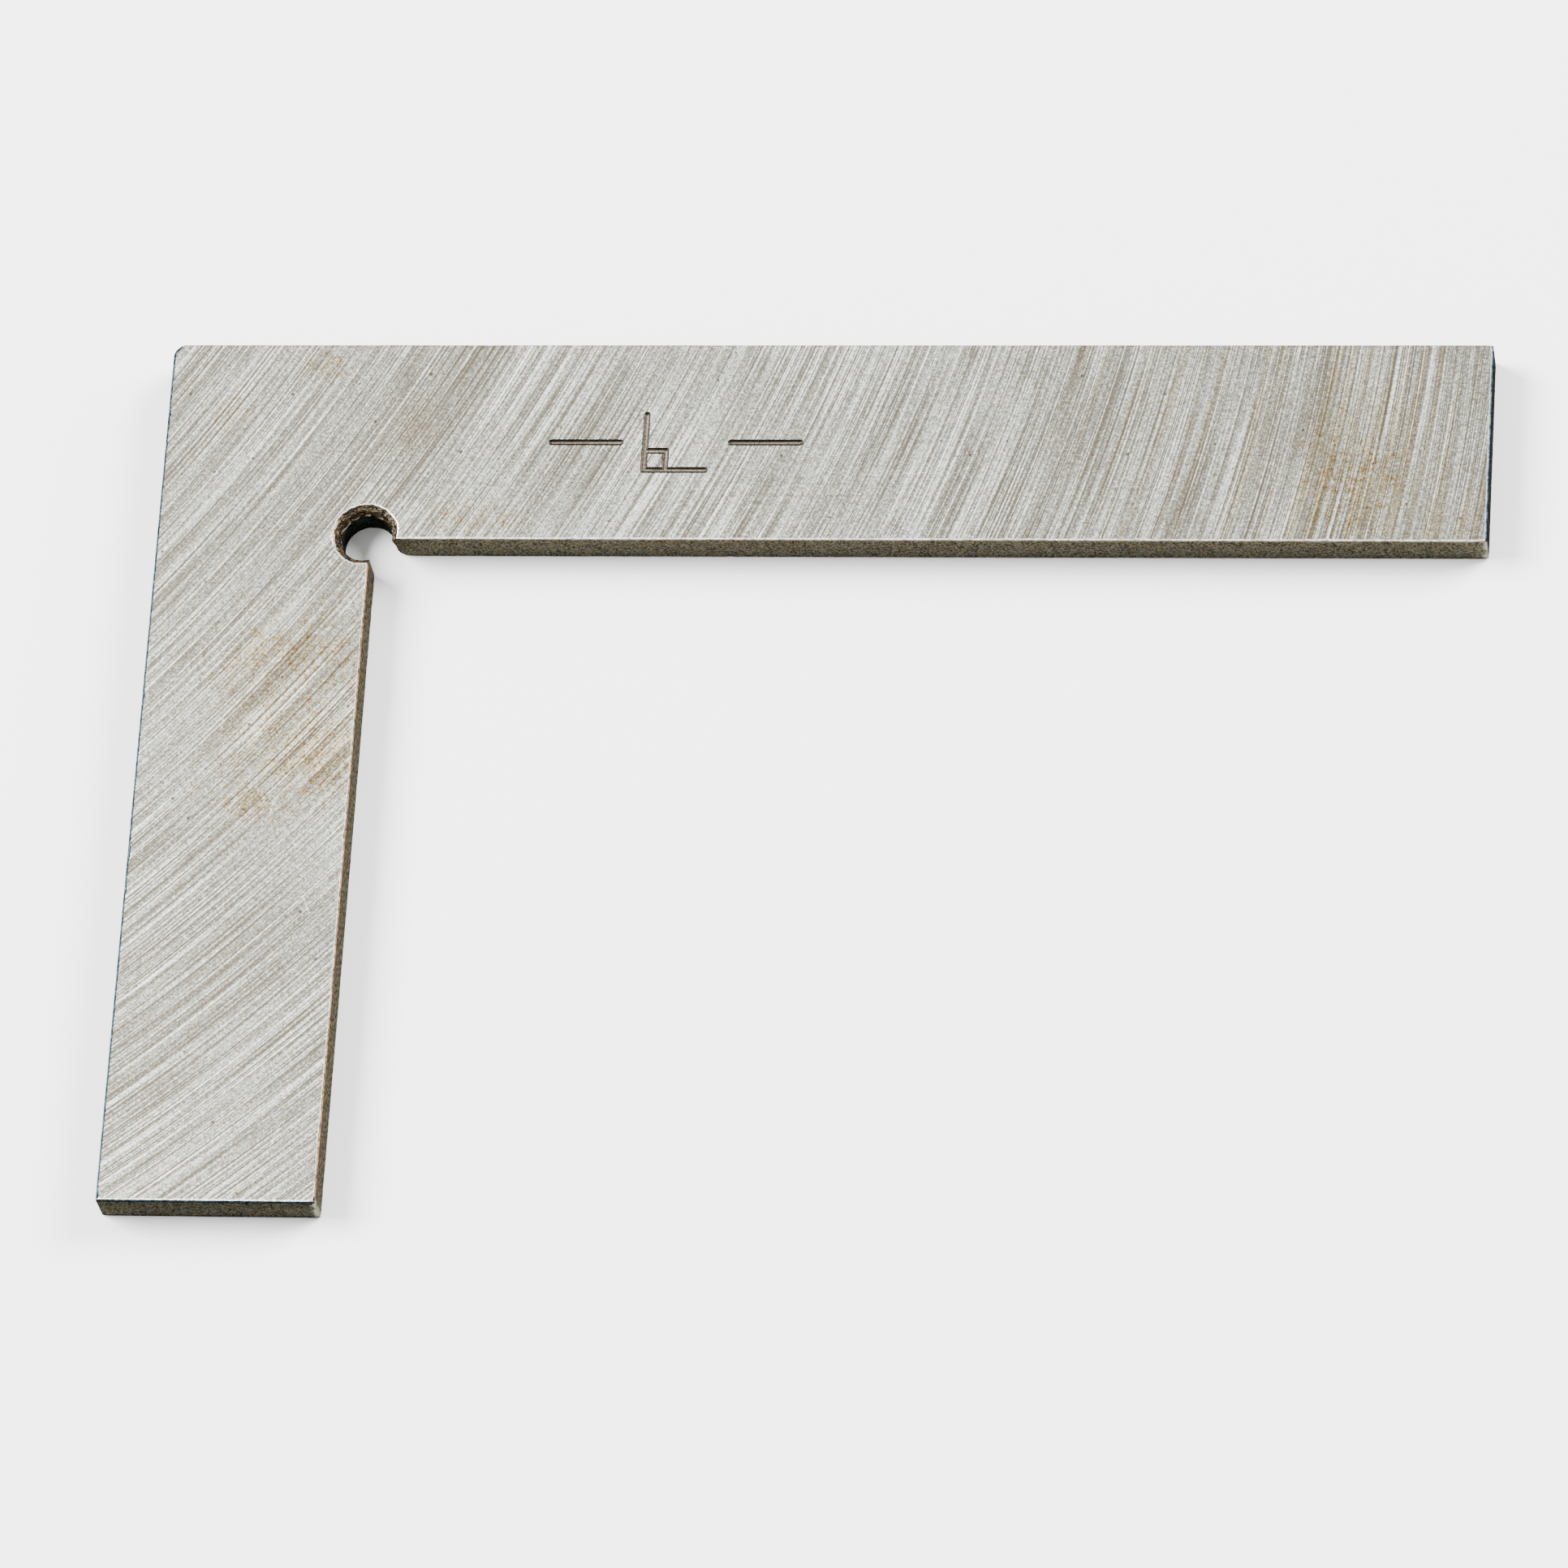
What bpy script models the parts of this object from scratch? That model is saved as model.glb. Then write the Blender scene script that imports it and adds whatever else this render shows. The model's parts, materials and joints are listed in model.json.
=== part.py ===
"""Flat steel square, 100 x 70 mm: one solid plate with two legs at a right angle.

The square lies on its back face. The long leg runs along +X and the short leg along -Y from
the outer corner. +Z goes up through the thickness, and the origin is the middle of the base
of the bounding box.
"""

import math

import bmesh
import bpy

MM = 0.001

# Driving dimensions
LONG_LEG = 100.0 * MM  # from the outer corner to the end of the long leg
SHORT_LEG = 70.0 * MM  # from the outer corner to the end of the short leg
LEG_WIDTH = 16.3 * MM
THICKNESS = 3.0 * MM
OUTER_CORNER_RADIUS = 1.0 * MM
RELIEF_HOLE_RADIUS = 2.3 * MM
RELIEF_HOLE_SHIFT = 0.4 * MM  # from the inner corner towards the outer corner, on each axis
EDGE_CHAMFER = 0.15 * MM  # broken edges all round, back and front

# How finely the round stretches are divided
OUTER_CORNER_STEPS = 12
RELIEF_HOLE_SIDES = 96

# Tolerances of the modelling steps
WELD_DISTANCE = 0.001 * MM
CHAMFER_MIN_ANGLE = math.radians(35.0)
CUTTER_OVERRUN = 2.0 * MM

# Places worked out from the dimensions
LEFT = -LONG_LEG / 2
RIGHT = LONG_LEG / 2
TOP = SHORT_LEG / 2
BOTTOM = -SHORT_LEG / 2
INNER_X = LEFT + LEG_WIDTH
INNER_Y = TOP - LEG_WIDTH

PLATE_NAME = "square_plate"
STEEL_COLOUR = (0.62, 0.61, 0.59, 1.0)
STEEL_ROUGHNESS = 0.38


def clear_scene():
    for obj in list(bpy.data.objects):
        bpy.data.objects.remove(obj, do_unlink=True)


def new_collection(name):
    collection = bpy.data.collections.new(name)
    bpy.context.scene.collection.children.link(collection)
    return collection


def ground_steel():
    material = bpy.data.materials.new("ground_steel")
    material.use_nodes = True
    shader = material.node_tree.nodes["Principled BSDF"]
    shader.inputs["Base Color"].default_value = STEEL_COLOUR
    shader.inputs["Metallic"].default_value = 1.0
    shader.inputs["Roughness"].default_value = STEEL_ROUGHNESS
    return material


def outer_corner_arc():
    """Points of the rounded outer corner, from the top edge round to the left edge."""
    centre_x = LEFT + OUTER_CORNER_RADIUS
    centre_y = TOP - OUTER_CORNER_RADIUS
    points = []
    for step in range(OUTER_CORNER_STEPS + 1):
        angle = math.pi / 2 + (math.pi / 2) * step / OUTER_CORNER_STEPS
        x = centre_x + OUTER_CORNER_RADIUS * math.cos(angle)
        y = centre_y + OUTER_CORNER_RADIUS * math.sin(angle)
        points.append((x, y))
    return points


def plate_outline():
    """The square's outline, anticlockwise from the foot of the short leg's inner edge."""
    legs = [(INNER_X, BOTTOM), (INNER_X, INNER_Y), (RIGHT, INNER_Y), (RIGHT, TOP)]
    return legs + outer_corner_arc() + [(LEFT, BOTTOM)]


def flat_solid(name, outline, collection):
    """A closed mesh of the outline, THICKNESS thick and standing on Z = 0."""
    curve = bpy.data.curves.new(name + "_outline", "CURVE")
    curve.dimensions = "2D"
    curve.fill_mode = "BOTH"
    curve.extrude = THICKNESS / 2
    spline = curve.splines.new("POLY")
    spline.points.add(len(outline) - 1)
    for point, (x, y) in zip(spline.points, outline, strict=True):
        point.co = (x, y, 0.0, 1.0)
    spline.use_cyclic_u = True
    drawn = bpy.data.objects.new(name + "_outline", curve)
    drawn.location.z = THICKNESS / 2
    collection.objects.link(drawn)
    bpy.context.view_layer.update()

    evaluated = drawn.evaluated_get(bpy.context.evaluated_depsgraph_get())
    solid = bpy.data.objects.new(name, bpy.data.meshes.new_from_object(evaluated))
    solid.matrix_world = drawn.matrix_world.copy()
    collection.objects.link(solid)
    bpy.data.objects.remove(drawn, do_unlink=True)

    shape = bmesh.new()
    shape.from_mesh(solid.data)
    bmesh.ops.remove_doubles(shape, verts=shape.verts, dist=WELD_DISTANCE)
    flat = [e for e in shape.edges if len(e.link_faces) == 2 and e.calc_face_angle() < 1e-4]
    bmesh.ops.dissolve_edges(shape, edges=flat, use_verts=False)
    bmesh.ops.recalc_face_normals(shape, faces=shape.faces)
    shape.to_mesh(solid.data)
    shape.free()
    return solid


def relief_hole_cutter(collection):
    """The drill that clears the inner corner, so that a workpiece's corner can't foul it."""
    bpy.ops.mesh.primitive_cylinder_add(
        vertices=RELIEF_HOLE_SIDES,
        radius=RELIEF_HOLE_RADIUS,
        depth=THICKNESS + 2 * CUTTER_OVERRUN,
        location=(INNER_X - RELIEF_HOLE_SHIFT, INNER_Y + RELIEF_HOLE_SHIFT, THICKNESS / 2),
    )
    cutter = bpy.context.active_object
    cutter.name = "relief_hole_cutter"
    for owner in list(cutter.users_collection):
        owner.objects.unlink(cutter)
    collection.objects.link(cutter)
    cutter.display_type = "WIRE"
    cutter.hide_render = True
    return cutter


def build_square_plate(part_collection, cutter_collection):
    plate = flat_solid(PLATE_NAME, plate_outline(), part_collection)

    relief = plate.modifiers.new("relief_hole", "BOOLEAN")
    relief.operation = "DIFFERENCE"
    relief.solver = "EXACT"
    relief.object = relief_hole_cutter(cutter_collection)

    chamfer = plate.modifiers.new("broken_edges", "BEVEL")
    chamfer.width = EDGE_CHAMFER
    chamfer.offset_type = "OFFSET"
    chamfer.segments = 1
    chamfer.limit_method = "ANGLE"
    chamfer.angle_limit = CHAMFER_MIN_ANGLE
    chamfer.use_clamp_overlap = False

    plate.data.materials.clear()
    plate.data.materials.append(ground_steel())
    return plate


def main():
    clear_scene()
    part_collection = new_collection("steel_square")
    cutter_collection = new_collection("cutters")
    build_square_plate(part_collection, cutter_collection)


main()
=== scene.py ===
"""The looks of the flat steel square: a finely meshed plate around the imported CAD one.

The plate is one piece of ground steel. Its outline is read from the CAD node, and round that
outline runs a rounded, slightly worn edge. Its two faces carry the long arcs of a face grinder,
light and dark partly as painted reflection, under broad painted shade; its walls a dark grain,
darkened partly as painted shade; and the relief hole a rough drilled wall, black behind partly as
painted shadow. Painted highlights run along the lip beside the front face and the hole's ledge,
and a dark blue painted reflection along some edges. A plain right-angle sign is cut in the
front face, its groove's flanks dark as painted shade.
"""

import json
import math
from collections import namedtuple

import bmesh
import bpy
import numpy as np
from mathutils import Matrix, Vector, noise

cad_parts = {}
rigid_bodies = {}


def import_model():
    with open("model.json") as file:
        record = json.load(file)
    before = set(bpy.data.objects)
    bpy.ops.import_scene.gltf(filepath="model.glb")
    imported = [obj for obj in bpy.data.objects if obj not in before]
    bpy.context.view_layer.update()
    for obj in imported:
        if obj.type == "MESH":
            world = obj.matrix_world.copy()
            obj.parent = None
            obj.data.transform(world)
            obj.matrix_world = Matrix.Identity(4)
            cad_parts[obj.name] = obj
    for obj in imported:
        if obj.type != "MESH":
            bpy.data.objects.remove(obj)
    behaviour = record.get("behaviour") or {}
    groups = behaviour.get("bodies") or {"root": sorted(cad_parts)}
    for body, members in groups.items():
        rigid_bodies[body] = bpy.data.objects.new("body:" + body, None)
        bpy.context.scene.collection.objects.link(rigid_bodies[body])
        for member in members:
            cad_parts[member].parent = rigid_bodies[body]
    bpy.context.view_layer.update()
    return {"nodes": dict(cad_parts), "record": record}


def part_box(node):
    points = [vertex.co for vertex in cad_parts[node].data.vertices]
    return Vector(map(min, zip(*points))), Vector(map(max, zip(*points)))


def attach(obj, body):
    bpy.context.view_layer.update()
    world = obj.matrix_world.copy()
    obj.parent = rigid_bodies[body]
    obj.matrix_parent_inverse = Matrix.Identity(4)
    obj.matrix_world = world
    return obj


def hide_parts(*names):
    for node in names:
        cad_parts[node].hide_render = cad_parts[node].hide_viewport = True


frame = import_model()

MM = 0.001

# Places read from the frame
PLATE_LOW, PLATE_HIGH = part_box("square_plate")
MOUNTS = {mount["name"]: mount for mount in frame["record"]["mounts"]}

INNER_X = MOUNTS["inner_short_edge"]["pos_m"][0]
INNER_Y = MOUNTS["inner_long_edge"]["pos_m"][1]

# How the plate's edge is divided, from the face round to the wall
OUTLINE_STEP = 0.16 * MM
EDGE_ROUND_STEPS = 4
WALL_ROWS = 22
FACE_SUPPORT = 0.07 * MM  # the flat ring of the face beside the broken edge
WELD = 0.001 * MM
SHARP_ANGLE = math.radians(32)

# A pattern of smooth noise: the size of its lumps, its strength and its seed
Grain = namedtuple("Grain", "size strength seed")

# The outline's corners: how sharp a turn counts as one, how far they are kept clear, how blunt
CORNER_TURN = math.radians(20)
CORNER_CLEAR = 0.36 * MM
CORNER_BLUNT = 0.03 * MM

# The broken edges: their width in shares of the CAD chamfer, how it varies, and the nicks
BREAK_SHARE = 0.62
BREAK_SLOW = Grain(6 * MM, 0.16, 0.0)
BREAK_FAST = Grain(0.4 * MM, 0.12, 7.0)
BREAK_LEAST = 0.3
NICKS = Grain(0.9 * MM, 0.35 * MM, 13.0)
NICK_RARITY = 0.42
END_BREAK = 0.14 * MM
END_BREAK_VARIES = 0.1
END_REACH = 0.5 * MM
FRONT_SEED = 1.0
BACK_SEED = 51.0
RIM_WEAR = Grain(0.3 * MM, 0.08 * MM, 3.0)

# The walls' grain, and the relief hole behind its mouth
WALL_GRAIN = 0.004 * MM
WALL_GRAIN_MIDDLE = 1.2
WALL_FINE = Grain(0.22 * MM, 0.8, 31.0)
WALL_BROAD = Grain(2.5 * MM, 0.4, 33.0)
HOLE_CALM = 1.0 * MM
HOLE_STEP_DEPTH = 0.95 * MM
HOLE_TEAR = 0.12 * MM
HOLE_GRAIN = 0.04 * MM
HOLE_COARSE = Grain(0.35 * MM, 1.0, 21.0)
HOLE_GRIT = Grain(0.16 * MM, 0.6, 23.0)
TORN_EDGE = Grain(0.8 * MM, 0.25 * MM, 22.0)
TORN_FADE = 0.2 * MM
MOUTH_DEPTH = 0.35 * MM
MOUTH_INSET = 0.35 * MM
WORN_CORNER = 1.0 * MM

# The relief hole's points in the outline: how near the inner corner they are, how far past the
# inner edges, and how close to the hole's circle
HOLE_REACH = 3 * MM
HOLE_CLEAR = 0.3 * MM
HOLE_MATCH = 0.05 * MM
RUNS_ALONG = 0.9  # a wall runs along an axis when its direction has this much of it

# The plate's material slots, by kind of surface
SLOTS = [
    "face", "lip", "blue_edge", "brown_edge", "rust_edge", "inner_wall", "brown_wall",
    "outer_wall", "short_end", "long_end", "hole", "groove",
]
# For each wall: the slots of the wall, of its broken edges and of the lip beside the face, on most
# walls a painted highlight, then the row of the edge at which the lip ends, and the one at which the
# broken edge ends
Finish = namedtuple("Finish", "wall broken_edge lip lip_rows edge_rows")
FINISH_OF = {
    "inner_long": Finish("inner_wall", "brown_edge", "lip", 3, 5),
    "inner_short": Finish("brown_wall", "rust_edge", "lip", 1, 5),
    "outer_long": Finish("outer_wall", "face", "face", 1, 5),
    "outer_short": Finish("outer_wall", "blue_edge", "blue_edge", 1, 5),
    "short_end": Finish("short_end", "blue_edge", "lip", 2, 6),
    "long_end": Finish("long_end", "blue_edge", "lip", 1, 5),
    "hole": Finish("hole", "brown_edge", "lip", 2, 5),
}

# The engraved right-angle sign between two dashes
SIGN_SIZE = 4.6 * MM
SIGN_SQUARE = 1.6 * MM
SIGN_GAP = 1.9 * MM
DASH_LENGTH = 5.2 * MM
SIGN_CORNER = (-13.4 * MM, 24.5 * MM)
GROOVE_TOOL_RADIUS = 0.32 * MM
GROOVE_DEPTH = 0.14 * MM
STROKE_CAP_STEPS = 6

# The face grinder: the wheel's radius, the way it was fed, and how far off centre it ran
WHEEL_RADIUS = 143.8
FEED_ANGLE = math.radians(-42.34)
WHEEL_OFFSET = 30.6
FACE_SHUFFLE = 2.3

# The grinding lines and cuts are the arcs' own tone and partly painted reflection: the light and
# shade that the arcs' grooves mirror
# Grinding lines in millimetres: (width, length, drift, strength)
GRINDING_LINES = [
    (0.10, 16.0, 0.0, 13.0),
    (0.17, 26.0, 0.0, 8.5),
    (0.28, 35.0, 0.008, 2.0),
    (0.32, 26.0, -0.02, 1.0),
    (0.60, 45.0, 0.0, 0.6),
    (1.2, 60.0, 0.01, 0.5),
    (3.0, 60.0, 0.0, 0.8),
    (9.0, 50.0, 0.0, 1.5),
]
# Single cuts: (width, length, drift, sharpness, strength)
CUT_LINES = [
    (1.1, 60.0, 0.0, 0.11, -14.0),
    (1.7, 45.0, 0.02, 0.08, -13.0),
    (1.4, 50.0, -0.01, 0.11, 13.0),
]
# The seeds of successive lines, cuts and bands of cuts: (first, step)
LINE_SEEDS = (0.0, 17.3)
CUT_SEEDS = (101.7, 13.1)
CUT_BAND_SEEDS = (207.9, 11.7)
CUT_BAND_SIZE = (4, 0.4)  # cuts show in bands this many times a cut's width and length
CUT_BAND_STEP = (-0.6, 1.4)
NOISE_GAIN = 8.0
# Lumps of colour or relief: the size in millimetres, and the noise's own values
Lumps = namedtuple("Lumps", "size seed detail roughness", defaults=(0.0, 0.5))
FACE_GRAIN_LUMPS = Lumps(0.14, 3.1, 1.0)
FACE_GRAIN = 13.0
FACE_PATCH_LUMPS = Lumps(7.0, 9.7, 2.0)
FACE_PATCHES = 2.0
# Painted shade, darker where the light falls off across the face: how its tone fades (from, to,
# change)
RIGHT_PAINTED_SHADE = (-10.0, 45.0, -8.0)  # along x
LEFT_PAINTED_SHADE = (-20.0, -48.0, -5.0)
FOOT_PAINTED_SHADE = (14.0, -22.0, -5.5)  # along y
CORNER_PAINTED_SHADE = (2.0, 25.0, -9.0)
CORNER_PAINTED_SHADE_SPAN = (-38.0, -12.0)  # along x, where the corner's fade dies out
FACE_RELIEF = 0.002 * MM
FACE_ROUGHNESS = (0.27, 0.42)
TONE_SPAN = 120.0

# Marks on the face, in millimetres
STAINS = [  # (x, y, reach along x, reach along y, strength)
    (-39.5, 4.5, 7.5, 10.0, 0.75),
    (-35.6, 0.5, 2.8, 3.2, 0.9),
    (-41.2, -3.2, 2.2, 1.2, 0.9),
    (-38.0, 9.5, 4.5, 2.0, 0.6),
    (39.5, 25.0, 6.5, 7.5, 0.5),
    (40.0, 23.5, 3.5, 4.0, 0.5),
    (-38.0, 33.2, 2.2, 1.3, 0.9),
    (-31.0, 28.0, 2.2, 2.8, 0.5),
    (-26.0, 20.6, 4.5, 1.5, 0.8),
    (-45.0, 29.0, 1.4, 2.0, 0.6),
]
SCRATCHES = [  # (x, y, length, angle in degrees, strength)
    (-39.4, -3.4, 1.6, 78.0, 30.0),
    (-36.2, -11.3, 1.9, 115.0, 26.0),
    (-37.0, -29.6, 2.2, 72.0, 28.0),
    (-45.0, -14.0, 1.2, 150.0, 22.0),
    (6.0, 24.2, 9.0, 2.0, 10.0),
    (-12.0, 22.9, 14.0, 1.0, 9.0),
    (22.0, 29.5, 3.0, 140.0, 14.0),
]
SCRATCH_WIDTH = 0.12
SCRATCH_TAPER = (0.3, 0.5)  # from its middle, in shares of its length, where it dies out
HAIRLINE_BAND = (22.6, 26.2)
HAIRLINE_LENGTH = 30
HAIRLINE_SPACING = 0.7
HAIRLINE_TILT = 0.012
HAIRLINE_SEED = 41.5
HAIRLINE_SHARPNESS = 0.12
HAIRLINE_TONE = -7.0
PIT_SPACING = 1.3
PIT_SHARE = (0.55, 0.57)
PIT_REACH = (0.06, 0.03)  # (spread, least), in shares of the spacing
PIT_EDGE = 0.04
PIT_COLOUR = (0.09, 0.065, 0.04)
PIT_COVER = 0.85
STAIN_LUMPS = Lumps(0.9, 14.6, 3.0, 0.65)
STAIN_RAGGED = 0.3
STAIN_FADE = (0.25, 1.25)
RUST_FILM = (0.83, 0.75, 0.585)
# Lines of stain along the arcs: (width, length, drift, seed)
FILM_LINES = (0.5, 12.0, 0.0, 311.0)
WASH_BANDS = (0.8, 30.0, 0.0, 402.0)
WASH_LINES = (0.25, 20.0, 0.0, 467.0)
FILM_STEP = (-1.6, 0.9, 0.35, 1.0)
TAN_WASH = (0.92, 0.82, 0.66)
TAN_WASH_SPAN = (5.0, 40.0)
TAN_WASH_SHARE = (0.05, 0.85)
WASH_LINES_SHARE = 0.7
WASH_STEP = (-0.4, 1.5)
RUST_FLECK = (0.72, 0.46, 0.22)
FLECK_LUMPS = Lumps(0.26, 27.4, 2.0, 0.6)
FLECK_IN_FILM = 1.1  # how much likelier flecks are in the film
FLECK_STEP = (1.45, 1.9)
FLECK_COVER = 0.85

# The dark walls, partly painted shade
WALL_ROUGHNESS = 0.5
WALL_GRAIN_LUMPS = Lumps(0.15, 5.3, 1.0, 0.7)
COARSE_WALL_LUMPS = Lumps(0.3, 5.3, 1.0, 0.7)
WALL_GRAIN_SHADE = 0.50
WALL_BLOT_LUMPS = Lumps(1.1, 8.9, 2.0)
WALL_BLOT_SHADE = 0.05
WALL_DARKEST = 0.25
WALL_DEPTHS = (0.3, 2.6)  # heights between which a wall's colour changes
WALL_DEPTH_WAVER = 0.1
WALL_WARM_LUMPS = Lumps(0.4, 18.8, 2.0)
WALL_WARM_STEP = (0.2, 1.6, 0.0, 0.6)
WALL_WARMTH = (1.35, 1.0, 0.6)
WALL_RELIEF = 0.006 * MM
EDGE_ROUGHNESS = 0.35
EDGE_PATCH_LUMPS = Lumps(0.35, 2.2, 2.0)
EDGE_PATCH_STEP = (-1.4, 1.0)
EDGE_GRAIN_LUMPS = Lumps(0.12, 4.4, 1.0)
EDGE_RELIEF = 0.003 * MM
HOLE_RELIEF = 0.02 * MM
# The tint of what a surface mirrors at a glancing angle: dark on the walls and the ends, dimming
# their reflections as painted shade
WALL_GLANCE = (0.25, 0.24, 0.2, 1.0)
END_GLANCE = (0.03, 0.04, 0.045, 1.0)
FULL_GLANCE = (1.0, 1.0, 1.0, 1.0)
# The paler patches beside the leg ends' upright corners: the distances over which they fade out
CORNER_PALE_FADE = (0.096, 0.448)
CORNER_PALE_LUMPS = Lumps(0.5, 71.3, 2.0)
CORNER_PALE_RAGGED = 0.12
CORNER_PALE_COLOUR = (0.30, 0.29, 0.235)
CORNER_PALE_COVER = 0.75

# The relief hole's wall
HOLE_GRAIN_LUMPS = Lumps(0.14, 6.1, 1.0, 0.7)
HOLE_LUMPS = Lumps(0.45, 3.3, 2.0)
HOLE_STEP_WAVER = 0.07
HOLE_TORN_STEP = (-0.05, 0.1)
# Painted shadow over the burnished back part's own dark: the black behind the hole's step
HOLE_BLACK = (0.022, 0.028, 0.020)
HOLE_TAN = (0.10, 0.08, 0.052)
HOLE_SIDE_SPAN = (-2.5, 1.0)  # from the inner corner along x
HOLE_SIDE_SHADE = (0.4, 1.0)
# Painted highlight: the bright line along the hole's step
HOLE_LEDGE = (0.42, 0.36, 0.27)
HOLE_LEDGE_FADE = (0.03, 0.1)
HOLE_LEDGE_LUMPS = Lumps(0.6, 61.0, 1.0)
HOLE_LEDGE_STEP = (-0.6, 0.4)
HOLE_ORANGE = (0.30, 0.15, 0.03)
HOLE_ORANGE_LUMPS = Lumps(0.3, 44.1, 2.0)
HOLE_ORANGE_STEP = (0.9, 1.6)
HOLE_PIT = (0.010, 0.009, 0.007)
HOLE_PIT_STEP = (-1.4, 0.5)

# The engraved groove
# Painted shade on the groove's flanks
GROOVE_FLANK = (0.02, 0.017, 0.013)
GROOVE_BOTTOM = (0.24, 0.20, 0.15)
GROOVE_BOTTOM_FROM = 0.88  # share of the groove's depth
GROOVE_LUMPS = Lumps(0.15, 12.1, 2.0)
GROOVE_SHADE = 0.3
GROOVE_DARKEST = 0.3
GROOVE_ROUGHNESS = 0.45

# The face's colours, from its darkest lines to its lightest, up to white; the spread carries the
# grinding tone and its painted reflection
FACE_RAMP = [
    (0.0, (0.24, 0.195, 0.14)),
    (0.25, (0.275, 0.245, 0.19)),
    (0.5, (0.425, 0.435, 0.382)),
    (0.75, (0.75, 0.765, 0.725)),
    (1.0, (1.0, 1.0, 1.0)),
]

# Camera
AIM_FROM_CENTRE = Vector((-1.24 * MM, -1.19 * MM, -0.19 * MM))
CAMERA_AZIMUTH = math.radians(17.93)
CAMERA_ELEVATION = math.radians(64.54)
CAMERA_DISTANCE = 780.6 * MM
CAMERA_ROLL = math.radians(15.96)
CAMERA_LENS = 242.8
SENSOR_WIDTH = 36.0

# Light and floor, in metres and watts
WORLD_STRENGTH = 0.8
SOFTBOX_SIZE = 1.0
SOFTBOX_DISTANCE = 1.7
FLOOR_GAP = 0.05 * MM
FLOOR_HALF = 3.0
FLOOR_GREY = 0.86
FLOOR_ROUGHNESS = 0.9


# ---------------------------------------------------------------- camera, light and floor


def point_camera():
    """The camera of the main view, by its angle round the plate's front face."""
    middle = (PLATE_LOW + PLATE_HIGH) / 2
    aim = Vector((middle.x, middle.y, PLATE_HIGH.z)) + AIM_FROM_CENTRE
    back = Vector((
        math.sin(CAMERA_AZIMUTH) * math.cos(CAMERA_ELEVATION),
        -math.cos(CAMERA_AZIMUTH) * math.cos(CAMERA_ELEVATION),
        math.sin(CAMERA_ELEVATION),
    ))
    lens = bpy.data.cameras.new("camera")
    lens.lens = CAMERA_LENS
    lens.sensor_width = SENSOR_WIDTH
    camera = bpy.data.objects.new("camera", lens)
    bpy.context.scene.collection.objects.link(camera)
    upright = (-back).to_track_quat("-Z", "Y").to_matrix().to_4x4()
    roll = Matrix.Rotation(-CAMERA_ROLL, 4, "Z")
    camera.matrix_world = Matrix.Translation(aim + back * CAMERA_DISTANCE) @ upright @ roll
    bpy.context.scene.camera = camera


def softbox(name, azimuth, elevation, power):
    """A square area light that faces the plate. Azimuth 0 is in front, 90 to the right."""
    a = math.radians(azimuth)
    e = math.radians(elevation)
    away = Vector((math.sin(a) * math.cos(e), -math.cos(a) * math.cos(e), math.sin(e)))
    lamp = bpy.data.lights.new(name, "AREA")
    lamp.shape = "SQUARE"
    lamp.size = SOFTBOX_SIZE
    lamp.energy = power
    light = bpy.data.objects.new(name, lamp)
    light.location = away * SOFTBOX_DISTANCE
    light.rotation_mode = "QUATERNION"
    light.rotation_quaternion = (-away).to_track_quat("-Z", "Y")
    bpy.context.scene.collection.objects.link(light)


def light_studio():
    world = bpy.data.worlds.new("studio")
    world.use_nodes = True
    background = world.node_tree.nodes["Background"]
    background.inputs["Color"].default_value = (1.0, 1.0, 1.0, 1.0)
    background.inputs["Strength"].default_value = WORLD_STRENGTH
    bpy.context.scene.world = world
    softbox("left_softbox", -105, 41, 150)
    softbox("right_softbox", 124, 30, 130)


def lay_floor():
    mesh = bpy.data.meshes.new("floor")
    shape = bmesh.new()
    bmesh.ops.create_grid(shape, x_segments=1, y_segments=1, size=FLOOR_HALF)
    shape.to_mesh(mesh)
    shape.free()
    floor = bpy.data.objects.new("floor", mesh)
    floor.location.z = PLATE_LOW.z - FLOOR_GAP
    bpy.context.scene.collection.objects.link(floor)
    paper = bpy.data.materials.new("floor_paper")
    paper.use_nodes = True
    shader = paper.node_tree.nodes["Principled BSDF"]
    shader.inputs["Base Color"].default_value = (FLOOR_GREY, FLOOR_GREY, FLOOR_GREY, 1.0)
    shader.inputs["Roughness"].default_value = FLOOR_ROUGHNESS
    shader.inputs["Specular IOR Level"].default_value = 0.0
    mesh.materials.append(paper)


# ---------------------------------------------------------------- the plate's mesh


def plate_outline(node):
    """The plate's outline from above, anticlockwise, and the width of its broken edges.

    The outline is where the upright walls meet the front chamfer.
    """
    shape = bmesh.new()
    shape.from_mesh(node.data)
    bmesh.ops.remove_doubles(shape, verts=shape.verts, dist=WELD)
    heights = sorted({round(v.co.z, 6) for v in shape.verts})
    on_rim = {v for v in shape.verts if abs(v.co.z - heights[-2]) < 10 * WELD}
    walk = [min(on_rim, key=lambda v: (v.co.x, v.co.y))]
    while True:
        around = [e.other_vert(walk[-1]) for e in walk[-1].link_edges]
        onward = [v for v in around if v in on_rim and v not in walk[-2:]]
        if len(walk) > 2 and walk[0] in onward:
            break
        walk.append(onward[0])
    points = [Vector((v.co.x, v.co.y)) for v in walk]
    shape.free()
    pairs = zip(points, points[1:] + points[:1], strict=True)
    if sum(a.x * b.y - b.x * a.y for a, b in pairs) < 0:
        points.reverse()
    return points, heights[-1] - heights[-2]


def turn_at(before, here, after):
    return abs((here - before).angle_signed(after - here))


def meeting_point(a, b, c, d):
    """Where the line through a and b meets the line through c and d."""
    along = b - a
    other = d - c
    share = (c - a).cross(other) / along.cross(other)
    return a + along * share


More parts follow.
